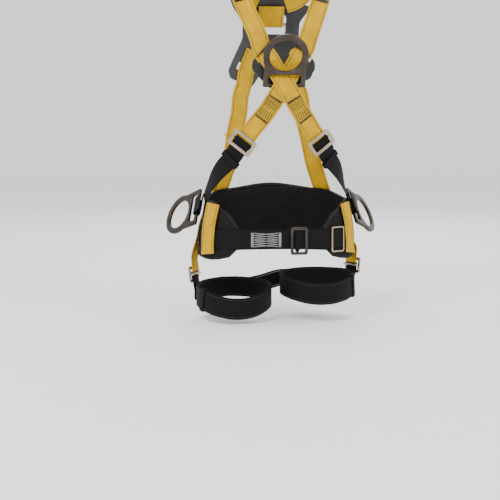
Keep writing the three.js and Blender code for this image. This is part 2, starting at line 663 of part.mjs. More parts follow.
function backCentreStrap() {
  const y = 116;
  const stations = stationsOf([
    on(0, y, 114, OVER_PAD), on(0, y, 70, OVER_PAD), on(0, y, 62, OVER_PAD + 1), on(0, y, 50, OVER_PAD + 8),
    on(0, y, 36, OVER_PAD + 4), on(0, y, 28, OVER_BELT), on(0, y, -24, OVER_BELT), on(0, y, -40, OVER_BELT - 1),
  ], 10);
  add('back_centre_strap', strap(stations), YELLOW_WEB);
  const barLift = OVER_PAD + WEB_THICK + 1.2;
  const bar = (z, lift) => stationsOf([on(30, y, z, lift), on(0, y, z, lift), on(-30, y, z, lift)], 20);
  add('back_centre_keeper_upper', strap(bar(73, barLift), 5, 1.6), BLACK_WEB);
  add('back_centre_keeper_lower', strap(bar(25, OVER_BELT + WEB_THICK + GAP + 1), 5, 1.6), BLACK_WEB);
}

// The belt's front pieces and the pass-through buckle between them.
function waistBuckleFrame() {
  const { p, n } = onSkin(vec(WAIST_BUCKLE_X, -115, WAIST_BUCKLE_DROP), 13);
  const along = vec(-1, 0, 0).addScaledVector(n, n.x).normalize();
  return frameOf(p, along.clone().cross(n), along);
}

function frontBelt() {
  const frame = waistBuckleFrame();
  const right = stationsOf([
    on(-183, -22, 0, OVER_PAD), on(-168, -62, 0, OVER_PAD), on(-140, -86, 0, OVER_PAD), on(-108, -100, 0, OVER_PAD),
    on(-76, -110, 0, 9), on(-36, -114, 0, 6), ...endBehindRail(frame, WAIST_BUCKLE).map(levelled),
  ]);
  add('waist_belt_right', strap(right, BELT), BLACK_WEB);
  const left = stationsOf([
    ...startInWindow(frame, WAIST_BUCKLE).map(levelled), on(82, -110, 0, 9), on(108, -100, 0, OVER_PAD),
    on(140, -86, 0, OVER_PAD), on(168, -62, 0, OVER_PAD), on(183, -22, 0, OVER_PAD),
  ]);
  add('waist_belt_left', strap(left, BELT), BLACK_WEB);
  adjuster('waist_buckle', frame, WAIST_BUCKLE, GUNMETAL);
}

// The belt stays level where the buckle hangs a little lower.
function levelled(control) {
  return { ...control, p: vec(control.p.x, control.p.y, 0) };
}

function beltSlide() {
  const { p, n } = onSkin(vec(BELT_SLIDE_X - BELT_SLIDE.along / 2, -95, -2), OVER_PAD + WEB_THICK + GAP + 2.2);
  const far = onSkin(vec(BELT_SLIDE_X + BELT_SLIDE.along / 2, -80, -2), OVER_PAD + WEB_THICK + GAP + 2.2);
  const along = p.clone().sub(far.p).normalize();
  const outward = n.add(far.n).normalize();
  const across = along.clone().cross(outward).normalize();
  add('belt_slide', frameGeometry(BELT_SLIDE), CHAMPAGNE_STEEL, frameOf(p, across, along));
}

// ---------------------------------------------------------------- the whole harness
function keeperOn(name, stations, distance, width, thick, play) {
  const [s] = stretch(stations, distance, Infinity, 0);
  add(name, keeperGeometry(width, thick, KEEPER_LENGTH, 1.6, play), BLACK_WEB, stationFrame(s));
}

function shoulders() {
  const straps = {};
  for (const { name, s } of SIDES) {
    straps[name] = shoulderStrap(s);
    const webbing = strap(straps[name], WEB, WEB_THICK, (q) => drapeOnChest(s, q));
    add(`shoulder_strap_${name}`, webbing, YELLOW_WEB);
    const sleeve = stretch(straps[name], SLEEVE.from, SLEEVE.to, WEB_THICK + 1);
    add(`shoulder_sleeve_${name}`, strap(sleeve, 36, 1.6), s === RIGHT ? BLACK_WEB : LABEL_SLEEVE);
    const under = stationsOf([
      on(s * 93, 59, 595, SHOULDER_PAD.inner), on(s * 100, 45, 615, SHOULDER_PAD.inner),
      on(s * 103, 14, 630, SHOULDER_PAD.inner), on(s * 100, -25, 612, SHOULDER_PAD.inner),
      on(s * 97, -48, 590, SHOULDER_PAD.inner),
    ], 14);
    const half = SHOULDER_PAD.width / 2;
    const edges = (f) => [-half + 14 * (2 * f - 1) ** 4, half - 14 * (2 * f - 1) ** 4];
    const thickAt = (f) => mix(SHOULDER_PAD.thick, SHOULDER_PAD.endThick, (2 * f - 1) ** 2);
    add(`shoulder_pad_${name}`, pad(under, edges, SHOULDER_PAD.inner, thickAt, 4), BLACK_PAD);
  }
  shoulderRings(straps);
}

function chest() {
  chestPlate();
  chestRing();
  for (const { name, s } of SIDES) {
    adjuster(`chest_adjuster_${name}`, chestAdjusterFrame(s), ADJUSTER, CHAMPAGNE_STEEL);
    const black = frontStrap(s);
    add(`front_strap_${name}`, strap(black), BLACK_WEB);
    keeperOn(`front_keeper_${name}`, black, 52, WEB, WEB_THICK, KEEPER_PLAY.chest);
  }
}

function back() {
  backPlate();
  dorsalRing();
  for (const { name, s } of SIDES) {
    const yellow = backStrap(s);
    add(`back_strap_${name}`, strap(yellow), YELLOW_WEB);
    const [fold, ...below] = stretch(yellow, INDICATOR_AT, Infinity, WEB_THICK + GAP + 0.3);
    const roll = new THREE.CylinderGeometry(INDICATOR_RADIUS, INDICATOR_RADIUS, WEB + 2, 12).rotateZ(Math.PI / 2);
    roll.translate(0, 0, INDICATOR_RADIUS);
    add(`fall_indicator_${name}`, roll, YELLOW_WEB, stationFrame(fold));
    add(`indicator_tag_${name}`, strap(below.slice(0, 4), TAG.width, TAG.thick), TAG_WHITE);
  }
  backBelt();
  backCentreStrap();
}

function waist() {
  waistPad();
  padStrips();
  frontBelt();
  beltSlide();
  sideRings();
}

function legs() {
  for (const { name, s } of SIDES) {
    adjuster(`leg_adjuster_${name}`, legAdjusterFrame(s), ADJUSTER, CHAMPAGNE_STEEL);
    add(`leg_riser_${name}`, strap(legRiser(s)), BLACK_WEB);
    const band = legBand(name, s);
    add(`leg_band_${name}`, strap(band, LEG_BAND.width, LEG_BAND.thick), BLACK_WEB);
    keeperOn(`leg_keeper_${name}`, band, 52, LEG_BAND.width, LEG_BAND.thick, KEEPER_PLAY.leg);
  }
  add('seat_strap', strap(seatStrap()), BLACK_WEB);
}

shoulders();
chest();
back();
waist();
legs();

export default group;
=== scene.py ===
"""Visual model of a full-body fall-arrest harness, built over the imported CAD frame."""
from __future__ import annotations

import json
import logging
import math
from dataclasses import dataclass, field
from enum import Enum

import bmesh
import bpy
import numpy as np
from mathutils import Matrix, Vector


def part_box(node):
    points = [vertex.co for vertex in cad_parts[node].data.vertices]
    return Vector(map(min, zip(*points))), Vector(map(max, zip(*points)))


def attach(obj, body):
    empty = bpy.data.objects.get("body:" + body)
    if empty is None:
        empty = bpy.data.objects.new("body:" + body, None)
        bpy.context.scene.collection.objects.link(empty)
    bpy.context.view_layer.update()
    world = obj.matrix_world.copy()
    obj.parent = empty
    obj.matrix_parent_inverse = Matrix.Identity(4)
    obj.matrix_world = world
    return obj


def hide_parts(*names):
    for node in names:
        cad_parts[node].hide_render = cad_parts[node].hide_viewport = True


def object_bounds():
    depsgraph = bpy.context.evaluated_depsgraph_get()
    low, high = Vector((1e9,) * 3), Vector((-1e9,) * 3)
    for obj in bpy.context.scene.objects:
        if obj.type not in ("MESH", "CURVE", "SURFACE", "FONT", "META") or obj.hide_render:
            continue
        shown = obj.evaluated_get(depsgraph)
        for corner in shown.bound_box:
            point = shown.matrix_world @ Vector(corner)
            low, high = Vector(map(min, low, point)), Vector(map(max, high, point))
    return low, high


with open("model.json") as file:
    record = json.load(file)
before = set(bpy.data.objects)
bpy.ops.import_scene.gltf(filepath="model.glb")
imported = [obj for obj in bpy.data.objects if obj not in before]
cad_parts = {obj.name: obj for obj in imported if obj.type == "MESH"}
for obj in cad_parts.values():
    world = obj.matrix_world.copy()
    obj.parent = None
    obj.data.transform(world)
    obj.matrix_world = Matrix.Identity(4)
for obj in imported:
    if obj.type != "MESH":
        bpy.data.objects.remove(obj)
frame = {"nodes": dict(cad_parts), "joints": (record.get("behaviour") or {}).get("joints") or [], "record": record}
CAD_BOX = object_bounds()

LOG = logging.getLogger("harness")
MM = 0.001
ROOT = "harness"


# ---------------------------------------------------------------- finishes
def rgba(code: str) -> tuple[float, float, float, float]:
    """Turns an sRGB hex colour into Blender's linear colour.

    Args:
        code: the colour as #rrggbb.

    Returns:
        The linear colour with full alpha.
    """
    parts = [int(code[i : i + 2], 16) / 255 for i in (1, 3, 5)]
    linear = [c / 12.92 if c <= 0.04045 else ((c + 0.055) / 1.055) ** 2.4 for c in parts]
    return (*linear, 1.0)


class Coords(Enum):
    """Where a finish reads its pattern from."""

    ALONG = "UV"  # metres along and across a strap
    BODY = "Object"  # metres in the row frame


def node(tree: bpy.types.NodeTree, kind: str, links: dict | None = None, **values: object) -> bpy.types.Node:
    """Adds one shader node.

    Args:
        tree: the material's node tree.
        kind: the node's type.
        links: input name to the output socket that feeds it.
        values: properties, or input names with spaces written as underscores.

    Returns:
        The new node.
    """
    new = tree.nodes.new(kind)
    for name, value in values.items():
        if hasattr(new, name):
            setattr(new, name, value)
        else:
            new.inputs[name.replace("_", " ")].default_value = value
    for name, socket in (links or {}).items():
        tree.links.new(socket, new.inputs[name])
    return new


@dataclass(frozen=True)
class Finish:
    """A finish with a base colour that is broken up by wear and dust."""

    name: str
    colour: str
    worn: str
    roughness: float
    coords: Coords = Coords.BODY

    def build(self) -> bpy.types.Material:
        """Makes the material once and returns it after that.

        Returns:
            The material.
        """
        made = bpy.data.materials.get(self.name)
        if made:
            return made
        material = bpy.data.materials.new(self.name)
        material.use_nodes = True
        tree = material.node_tree
        shader = tree.nodes["Principled BSDF"]
        shader.inputs["Roughness"].default_value = self.roughness
        where = node(tree, "ShaderNodeTexCoord").outputs[self.coords.value]
        blotch = node(tree, "ShaderNodeTexNoise", {"Vector": where}, Scale=22.0, Detail=6.0, Roughness=0.62)
        spread = node(tree, "ShaderNodeMapRange", {"Value": blotch.outputs["Fac"]}, From_Min=0.36, From_Max=0.72)
        colour = node(tree, "ShaderNodeMix", {"Factor": spread.outputs["Result"]}, data_type="RGBA")
        colour.inputs[6].default_value = rgba(self.colour)
        colour.inputs[7].default_value = rgba(self.worn)
        tree.links.new(colour.outputs[2], shader.inputs["Base Color"])
        self.surface(tree, shader, where, colour)
        return material

    def surface(
        self,
        tree: bpy.types.NodeTree,
        shader: bpy.types.Node,
        where: bpy.types.NodeSocket,
        colour: bpy.types.Node,
    ) -> None:
        """Adds the finish's own relief.

        Args:
            tree: the node tree.
            shader: its principled shader.
            where: the pattern's coordinates.
            colour: the colour mix, whose output may be shaded further.
        """

    @staticmethod
    def relief(
        tree: bpy.types.NodeTree,
        shader: bpy.types.Node,
        height: bpy.types.NodeSocket,
        strength: float,
        depth: float,
    ) -> None:
        """Joins a height to the shader as a bump.

        Args:
            tree: the node tree.
            shader: its principled shader.
            height: the socket that gives the height.
            strength: share of the bump that shows.
            depth: height of the relief in metres.
        """
        bump = node(tree, "ShaderNodeBump", {"Height": height}, Strength=strength, Distance=depth)
        tree.links.new(bump.outputs["Normal"], shader.inputs["Normal"])


@dataclass(frozen=True)
class Webbing(Finish):
    """Woven polyester webbing: fine ribs across it and yarns along it."""

    coords: Coords = Coords.ALONG
    rib: float = 1.9 * MM
    yarn: float = 1.5 * MM

    def surface(
        self,
        tree: bpy.types.NodeTree,
        shader: bpy.types.Node,
        where: bpy.types.NodeSocket,
        colour: bpy.types.Node,
    ) -> None:
        """Weaves ribs and yarns into one height and paints shade into the valleys between them.

        Args:
            tree: the node tree.
            shader: its principled shader.
            where: the pattern's coordinates.
            colour: the colour mix, which may be shaded further.
        """
        spread = node(tree, "ShaderNodeSeparateXYZ", {"Vector": where})

        def wave(socket: bpy.types.NodeSocket, pitch: float) -> bpy.types.NodeSocket:
            """Turns a distance into a wave.

            Args:
                socket: the distance.
                pitch: length of one wave.

            Returns:
                The wave's output.
            """
            turns = node(tree, "ShaderNodeMath", {0: socket}, operation="MULTIPLY")
            turns.inputs[1].default_value = math.tau / pitch
            return node(tree, "ShaderNodeMath", {0: turns.outputs[0]}, operation="SINE").outputs[0]

        ribs = wave(spread.outputs["X"], self.rib)
        yarns = wave(spread.outputs["Y"], self.yarn)
        weave = node(tree, "ShaderNodeMath", {0: ribs, 1: yarns}, operation="MULTIPLY")
        lifted = node(tree, "ShaderNodeMath", {0: weave.outputs[0], 1: ribs}, operation="ADD")
        fuzz = node(tree, "ShaderNodeTexNoise", {"Vector": where}, Scale=900.0, Detail=3.0)
        height = node(tree, "ShaderNodeMath", {0: lifted.outputs[0], 1: fuzz.outputs["Fac"]}, operation="ADD")
        self.relief(tree, shader, height.outputs[0], 0.7, 0.25 * MM)
        # Painted shade: the weave's low valleys are mixed towards near black (#0b0905).
        valley_painted_shade = node(tree, "ShaderNodeMapRange", {"Value": lifted.outputs[0]}, From_Min=-1.6, From_Max=0.6)
        valley_painted_shade.inputs["To Min"].default_value = 0.62
        shade = node(tree, "ShaderNodeMix", {"Factor": valley_painted_shade.outputs["Result"], 7: colour.outputs[2]}, data_type="RGBA")
        shade.inputs[6].default_value = rgba("#0b0905")
        tree.links.new(shade.outputs[2], shader.inputs["Base Color"])
        shader.inputs["Specular IOR Level"].default_value = 0.18


@dataclass(frozen=True)
class PadCover(Finish):
    """Spacer-mesh fabric over foam: small round openings in a dark knit."""

    cell: float = 3.2 * MM

    def surface(
        self,
        tree: bpy.types.NodeTree,
        shader: bpy.types.Node,
        where: bpy.types.NodeSocket,
        colour: bpy.types.Node,
    ) -> None:
        """Sinks a small round opening into each cell of the knit and paints shade into it.

        Args:
            tree: the node tree.
            shader: its principled shader.
            where: the pattern's coordinates.
            colour: the colour mix, which may be shaded further.
        """
        cells = node(tree, "ShaderNodeTexVoronoi", {"Vector": where}, Scale=1 / self.cell, Randomness=0.25)
        hole = node(tree, "ShaderNodeMapRange", {"Value": cells.outputs["Distance"]}, From_Min=0.18, From_Max=0.42)
        self.relief(tree, shader, hole.outputs["Result"], 0.8, 0.5 * MM)
        # Painted shade: each opening is mixed towards near black (#040303).
        shade = node(tree, "ShaderNodeMix", {"Factor": hole.outputs["Result"], 7: colour.outputs[2]}, data_type="RGBA")
        shade.inputs[6].default_value = rgba("#040303")
        tree.links.new(shade.outputs[2], shader.inputs["Base Color"])
        shader.inputs["Specular IOR Level"].default_value = 0.2


@dataclass(frozen=True)
class Plastic(Finish):
    """Moulded plastic with a fine spark-eroded grain and light scuffs."""

    grain: float = 0.9 * MM

    def surface(
        self,
        tree: bpy.types.NodeTree,
        shader: bpy.types.Node,
        where: bpy.types.NodeSocket,
        colour: bpy.types.Node,
    ) -> None:
        """Adds the mould grain and lets the gloss vary over it.

        Args:
            tree: the node tree.
            shader: its principled shader.
            where: the pattern's coordinates.
            colour: the colour mix; not used.
        """
        grain = node(tree, "ShaderNodeTexNoise", {"Vector": where}, Scale=1 / self.grain, Detail=4.0)
        self.relief(tree, shader, grain.outputs["Fac"], 0.35, 0.12 * MM)
        scuff = node(tree, "ShaderNodeTexNoise", {"Vector": where}, Scale=60.0, Detail=8.0, Roughness=0.7)
        gloss = node(tree, "ShaderNodeMapRange", {"Value": scuff.outputs["Fac"]}, From_Min=0.3, From_Max=0.75)
        gloss.inputs["To Min"].default_value = self.roughness - 0.1
        gloss.inputs["To Max"].default_value = self.roughness + 0.16
        tree.links.new(gloss.outputs["Result"], shader.inputs["Roughness"])


@dataclass(frozen=True)
class PlatedSteel(Finish):
    """Forged steel under a thin plating, tumbled smooth and lightly handled."""

    def surface(
        self,
        tree: bpy.types.NodeTree,
        shader: bpy.types.Node,
        where: bpy.types.NodeSocket,
        colour: bpy.types.Node,
    ) -> None:
        """Adds tumbling marks and smudges to the plating.

        Args:
            tree: the node tree.
            shader: its principled shader.
            where: the pattern's coordinates.
            colour: the colour mix; not used.
        """
        shader.inputs["Metallic"].default_value = 1.0
        marks = node(tree, "ShaderNodeTexNoise", {"Vector": where}, Scale=420.0, Detail=5.0, Roughness=0.6)
        self.relief(tree, shader, marks.outputs["Fac"], 0.25, 0.08 * MM)
        smudge = node(tree, "ShaderNodeTexNoise", {"Vector": where}, Scale=45.0, Detail=7.0, Roughness=0.66)
        gloss = node(tree, "ShaderNodeMapRange", {"Value": smudge.outputs["Fac"]}, From_Min=0.3, From_Max=0.72)
        gloss.inputs["To Min"].default_value = self.roughness - 0.08
        gloss.inputs["To Max"].default_value = self.roughness + 0.18
        tree.links.new(gloss.outputs["Result"], shader.inputs["Roughness"])


YELLOW = Webbing("yellow polyester webbing", "#dcae00", "#bd8f00", 0.7)
LOOSE_YELLOW = Webbing("yellow polyester loop", "#dcae00", "#bd8f00", 0.7, Coords.BODY)
LOOSE_BLACK = Webbing("black polyester loop", "#040405", "#08080a", 0.72, Coords.BODY)
BLACK = Webbing("black polyester webbing", "#040405", "#08080a", 0.72)
LABEL = Webbing("dark grey coated sleeve", "#3d3936", "#494440", 0.5, rib=0.8 * MM, yarn=0.8 * MM)
TAG = Webbing("white printed tag", "#e9e9e4", "#dcdcd4", 0.6, rib=0.7 * MM, yarn=0.7 * MM)
DARK_THREAD = Plastic("dark brown bonded thread", "#1b130a", "#2a1f12", 0.6, grain=0.3 * MM)
BLACK_THREAD = Plastic("black bonded thread", "#17171a", "#202023", 0.55, grain=0.3 * MM)
GREY_THREAD = Plastic("grey bonded thread", "#8b8a88", "#9a9996", 0.6, grain=0.3 * MM)
PAD = PadCover("black spacer mesh pad", "#110f0d", "#191614", 0.85)
BINDING = Plastic("black binding tape", "#090808", "#121110", 0.62, grain=0.6 * MM)
PLATE = Plastic("grey moulded nylon", "#222427", "#2c2f32", 0.36)
CHEST_PLASTIC = Plastic("black moulded nylon", "#11100e", "#1b1917", 0.38)
# The chest, side and back rings are one plated steel: the dark copy is painted shade and the pale copy is painted
# light.
SHADE_PAINTED_STEEL = PlatedSteel("plated forged steel painted dark as shade", "#3a3532", "#574b42", 0.26)
LIGHT_PAINTED_STEEL = PlatedSteel("plated forged steel painted pale as light", "#d9c5ae", "#c4ae96", 0.34)
CHAMPAGNE = PlatedSteel("champagne plated steel", "#b3a391", "#8f7d6a", 0.24)
GUNMETAL = PlatedSteel("gunmetal plated steel", "#33302e", "#4d4946", 0.22)


# ---------------------------------------------------------------- meshes
def finished(name: str, bm: bmesh.types.BMesh, finish: Finish, body: str, nodes: tuple[str, ...] = ()) -> bpy.types.Object:
    """Turns a bmesh into a shown piece that rides on a body.

    Args:
        name: the piece's name.
        bm: its mesh, which is freed.
        finish: its finish.
        body: the CAD body that it moves with.
        nodes: the CAD nodes that it stands for.

    Returns:
        The new object.
    """
    bmesh.ops.recalc_face_normals(bm, faces=bm.faces)
    for face in bm.faces:
        face.smooth = True
    mesh = bpy.data.meshes.new(name)
    bm.to_mesh(mesh)
    bm.free()
    mesh.set_sharp_from_angle(angle=math.radians(38))
    mesh.materials.append(finish.build())
    piece = bpy.data.objects.new(name, mesh)
    bpy.context.scene.collection.objects.link(piece)
    if nodes:
        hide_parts(*nodes)
    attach(piece, body)
    LOG.info("%s: %d faces", name, len(mesh.polygons))
    return piece


def body_of_node(name: str) -> str:
    """Finds the body that holds a CAD node.

    Args:
        name: the node's name.

    Returns:
        The body's name.
    """
    groups = frame["record"]["behaviour"]["bodies"]
    return next(body for body, members in groups.items() if name in members)


def welded(name: str) -> bmesh.types.BMesh:
    """Copies a CAD node's mesh with its split corners joined.

    Args:
        name: the node's name.

    Returns:
        The copy.
    """
    bm = bmesh.new()
    bm.from_mesh(frame["nodes"][name].data)
    bmesh.ops.remove_doubles(bm, verts=bm.verts, dist=0.004 * MM)
    bm.verts.ensure_lookup_table()
    return bm


def between(point: Vector, a: Vector, b: Vector) -> bool:
    """Tells whether a point lies on the straight line between two corners.

    Args:
        point: the point.
        a: one corner.
        b: the other corner.

    Returns:
        True if it does.
    """
    along = b - a
    share = max(0.0, min(1.0, (point - a).dot(along) / along.length_squared))
    return (a + along * share - point).length < 0.03 * MM


def layers_of(name: str) -> list[list[Vector]]:
    """Reads a CAD strap's cross-sections from its upper end, or from the wearer's right.

    Args:
        name: the node's name.

    Returns:
        The corners of each cross-section.
    """
    bm = welded(name)
    corners = [v for v in bm.verts if len(v.link_edges) < 6]
    first = corners[0]
    cap = {first}
    for _ in range(3):
        cap |= {e.other_vert(v) for v in cap for e in v.link_edges} & set(corners)
    if len(cap) != 4:
        cap = set(sorted(corners, key=lambda v: (v.co - first.co).length)[:4])
    limit = max((v.co - first.co).length for v in cap)
    near = [v for v in bm.verts if (v.co - first.co).length <= limit + 0.1 * MM]
    layer = {v for v in near if any(between(v.co, a.co, b.co) for a in cap for b in cap if a is not b)}
    seen = set(layer)
    layers = []
    while layer:
        layers.append([v.co.copy() for v in layer])
        layer = {e.other_vert(v) for v in layer for e in v.link_edges} - seen
        seen |= layer
    bm.free()
    start, end = (sum(corners, Vector()) / len(corners) for corners in (layers[0], layers[-1]))
    rise = start.z - end.z if abs(start.z - end.z) > 20 * MM else end.x - start.x
    return layers if rise >= 0 else layers[::-1]


@dataclass
class StrapPath:
    """The middle surface of a strap: rows of points across it, and their outward directions."""

    rows: np.ndarray
    normals: np.ndarray
    length: float
    width: float

    @classmethod
    def of(cls, name: str, step: float = 3.5 * MM, columns: int = 13) -> "StrapPath":
        """Reads a CAD strap and resamples it finely.

        Args:
            name: the strap's CAD node.
            step: spacing of the rows.
            columns: points across each row.

        Returns:
            The path.
        """
        middle, outward = [], []
        across_before, out_before = None, None
        for corners in layers_of(name):
            centre = sum(corners, Vector()) / len(corners)
            far = max(((a - b) for a in corners for b in corners), key=lambda d: d.length)
            thin = sorted(corners, key=lambda c: (c - corners[0]).length)[1] - corners[0]
            across = (far - thin * (far.dot(thin) / max(thin.length_squared, 1e-12))).normalized()
            if across_before is not None and across.dot(across_before) < 0:
                across = -across
            ordered = sorted(corners, key=lambda c: (c - centre).dot(across))
            pairs = [ordered[i : i + 2] for i in range(0, len(ordered), 2)]
            out = (pairs[0][1] - pairs[0][0]).normalized()
            sign = out.dot(out_before) if out_before is not None else out.dot(Vector((centre.x, centre.y, 0)))
            out = out if sign >= 0 else -out
            middle.append([np.array((a + b) / 2) for a, b in pairs])
            outward.append(np.array(out))
            across_before, out_before = across, out
        middle, outward = np.array(middle), np.array(outward)
        centre = middle.mean(1)
        travel = np.concatenate([[0], np.cumsum(np.linalg.norm(np.diff(centre, axis=0), axis=1))])
        count = max(2, round(travel[-1] / step))
        at = np.linspace(0, travel[-1], count + 1)
        share = np.linspace(0, 1, columns)
        held = np.linspace(0, 1, middle.shape[1])
        rows = smooth_resample(travel, middle.reshape(len(middle), -1), at).reshape(len(at), middle.shape[1], 3)
        fine = np.stack([[np.interp(share, held, row[:, k]) for k in range(3)] for row in rows]).transpose(0, 2, 1)
        normals = smooth_resample(travel, outward, at)
        normals /= np.linalg.norm(normals, axis=1)[:, None]
        width = float(np.linalg.norm(fine[0, -1] - fine[0, 0]))
        return cls(fine, normals, float(travel[-1]), width)

    def point(self, along: float, across: float, lift: float) -> Vector:
        """Finds a point on the strap.

        Args:
            along: distance from its start, in metres.
            across: distance from its middle line, in metres.
            lift: height over its middle surface, in metres.

        Returns:
            The point in the row frame.
        """
        row = np.clip(along / self.length, 0, 1) * (len(self.rows) - 1)
        column = np.clip(across / self.width + 0.5, 0, 1) * (self.rows.shape[1] - 1)
        i, j = min(int(row), len(self.rows) - 2), min(int(column), self.rows.shape[1] - 2)
        f, g = row - i, column - j
        low = self.rows[i, j] * (1 - g) + self.rows[i, j + 1] * g
        high = self.rows[i + 1, j] * (1 - g) + self.rows[i + 1, j + 1] * g
        out = self.normals[i] * (1 - f) + self.normals[i + 1] * f
        return Vector(low * (1 - f) + high * f + out * lift)


def smooth_resample(at: np.ndarray, values: np.ndarray, to: np.ndarray) -> np.ndarray:
    """Resamples values with a cubic that keeps to them and rounds the bends between.

    Args:
        at: rising distances of the values.
        values: one row of numbers for each distance.
        to: the distances wanted.

    Returns:
        One row for each distance wanted.
    """
    slopes = np.gradient(values, at, axis=0)
    k = np.clip(np.searchsorted(at, to, side="right") - 1, 0, len(at) - 2)
    span = (at[k + 1] - at[k])[:, None]
    t = ((to - at[k])[:, None]) / span
    start, end = values[k], values[k + 1]
    rise = (2 * t**3 - 3 * t**2 + 1) * start + (-2 * t**3 + 3 * t**2) * end
    return rise + (t**3 - 2 * t**2 + t) * slopes[k] * span + (t**3 - t**2) * slopes[k + 1] * span


# ---------------------------------------------------------------- straps
class Stitch(Enum):
    """How a strap is sewn along its length."""

    NONE = 0
    EDGES = 1


@dataclass
class Strap:
    """A length of webbing with soft selvedges, laid where its CAD solid lies."""

    node: str
    finish: Finish
    thick: float = 2.4 * MM
    thread: Finish | None = None
    stitch: Stitch = Stitch.EDGES
    inset: float = 5 * MM
    dash: float = 4.2 * MM
    pitch: float = 6.6 * MM
    path: StrapPath = field(init=False)

    def build(self) -> "Strap":
        """Makes the webbing and its edge stitching.

        Returns:
            The strap.
        """
        self.path = StrapPath.of(self.node)
        rows, columns = self.path.rows.shape[:2]
        bm = bmesh.new()
        grid = bmesh.ops.create_grid(bm, x_segments=columns - 1, y_segments=rows - 1, size=0.5)
        uv = bm.loops.layers.uv.new("metres")
        place = {}
        for v in grid["verts"]:
            place[v] = (round((v.co.y + 0.5) * (rows - 1)), round((v.co.x + 0.5) * (columns - 1)))
        step = self.path.length / (rows - 1)
        for face in bm.faces:
            for loop in face.loops:
                i, j = place[loop.vert]
                loop[uv].uv = (i * step, j / (columns - 1) * self.path.width)
        for v, (i, j) in place.items():
            v.co = Vector(self.path.rows[i, j] - self.path.normals[i] * self.thick * 0.5)
        self.thicken(bm, place)
        finished(self.node + "_webbing", bm, self.finish, body_of_node(self.node), (self.node,))
        if self.stitch is Stitch.EDGES and self.thread:
            self.sew_edges()
        return self

    def thicken(self, bm: bmesh.types.BMesh, place: dict) -> None:
        """Extrudes the flat webbing outward and rounds its selvedges.

        Args:
            bm: the webbing's mesh, lying on its inner face.
            place: the row and column of each corner.
        """
        base = list(bm.faces)
        outward = {v: Vector(self.path.normals[i]) for v, (i, j) in place.items()}
        made = bmesh.ops.extrude_face_region(bm, geom=base, use_keep_orig=True)
        lifted = [g for g in made["geom"] if isinstance(g, bmesh.types.BMVert)]
        for old, new in zip(sorted(place, key=lambda v: v.co[:]), sorted(lifted, key=lambda v: v.co[:])):
            new.co += outward[old] * self.thick
        rim = [e for e in bm.edges if len(e.link_faces) == 2 and e.calc_face_angle(0) > 1.0]
        bmesh.ops.bevel(bm, geom=rim, offset=self.thick * 0.36, segments=3, profile=0.5, affect="EDGES", material=-1)

    def sew_edges(self) -> None:
        """Sews a dashed line near each edge, on both faces."""
        lines = []
        edge = self.path.width / 2 - self.inset
        for across in (-edge, edge):
            at = 5 * MM
            while at + self.dash < self.path.length - 3 * MM:
                lines.append(((at, across), (at + self.dash, across)))
                at += self.pitch
        self.sew("edge_stitching", lines)

    def sew(self, label: str, lines: list, faces: tuple[int, ...] = (1, -1), radius: float = 0.75 * MM) -> None:
        """Lays threads on the strap.

        Args:
            label: what the stitching is, for its name.
            lines: pairs of (along, across) ends.
            faces: 1 for the outer face and -1 for the inner one.
            radius: half the thread's thickness.
        """
        ends = []
        for face in faces:
            lift = face * self.thick * 0.5
            ends += [(self.path.point(*start, lift), self.path.point(*end, lift)) for start, end in lines]
        finished(f"{self.node}_{label}", threads_mesh(ends, radius), self.thread, body_of_node(self.node))

    def bar_tack(self, at: float, across: float, width: float, rows: int = 4) -> list:
        """Plans a dense block of threads that lie across the strap.

        Args:
            at: where its middle is along the strap.
            across: its middle across the strap.
            width: its length across the strap.
            rows: how many threads it has.

        Returns:
            The lines to sew.
        """
        gap = 1.5 * MM
        starts = [at + (k - (rows - 1) / 2) * gap for k in range(rows)]
        return [((s, across - width / 2), (s, across + width / 2)) for s in starts]

    def zigzag(self, start: float, end: float, width: float, teeth: int, shift: float) -> list:
        """Plans a row of long teeth across the strap, each from one end of a box to the other.

        Args:
            start: where the box begins along the strap.
            end: where it ends.
            width: the row's width across the strap.
            teeth: how many strokes there are.
            shift: 0 to begin at the start, 1 to begin at the end.

        Returns:
            The lines to sew, cut short enough to follow a curved strap.
        """
        pieces = 6
        corners = [(end if (k + shift) % 2 else start, (k / teeth - 0.5) * width) for k in range(teeth + 1)]
        lines = []
        for (a, u), (b, v) in zip(corners, corners[1:]):
            stops = [(a + (b - a) * k / pieces, u + (v - u) * k / pieces) for k in range(pieces + 1)]
            lines += list(zip(stops, stops[1:]))
        return lines

    def sew_pack(self, at: float, length: float, faces: tuple[int, ...] = (1,)) -> None:
        """Sews a load-bearing box: a bar tack at each end and crossed teeth between.

        Args:
            at: where the box begins along the strap.
            length: its length.
            faces: the faces that it shows on.
        """
        width = self.path.width - 12 * MM
        lines = self.bar_tack(at, 0, width) + self.bar_tack(at + length, 0, width)
        for shift in (0, 1):
            lines += self.zigzag(at + 4 * MM, at + length - 4 * MM, width, 6, shift)
        self.sew(f"load_stitching_{round(at / MM)}", lines, faces, 0.65 * MM)


def threads_mesh(ends: list[tuple[Vector, Vector]], radius: float) -> bmesh.types.BMesh:
    """Makes visible lengths of thread or cord, each with round ends.

    Args:
        ends: the start and end of each length.
        radius: half the thread's thickness.

    Returns:
        The mesh of them all.
    """
    seed = bmesh.new()
    bmesh.ops.create_uvsphere(seed, u_segments=6, v_segments=5, radius=radius)
    shape = np.array([v.co for v in seed.verts])
    pole = np.sign(shape[:, 2])
    faces = [[v.index for v in f.verts] for f in seed.faces]
    seed.free()
    points, polygons = [], []
    for a, b in ends:
        turn = np.array((b - a).to_track_quat("Z", "Y").to_matrix())
        stretched = shape.copy()
        stretched[:, 2] += pole * (b - a).length / 2
        polygons += [[i + len(shape) * len(points) for i in face] for face in faces]
        points.append(stretched @ turn.T + np.array((a + b) / 2))
    mesh = bpy.data.meshes.new("threads")
    mesh.from_pydata(np.concatenate(points), [], polygons)
    bm = bmesh.new()
    bm.from_mesh(mesh)
    bpy.data.meshes.remove(mesh)
    return bm


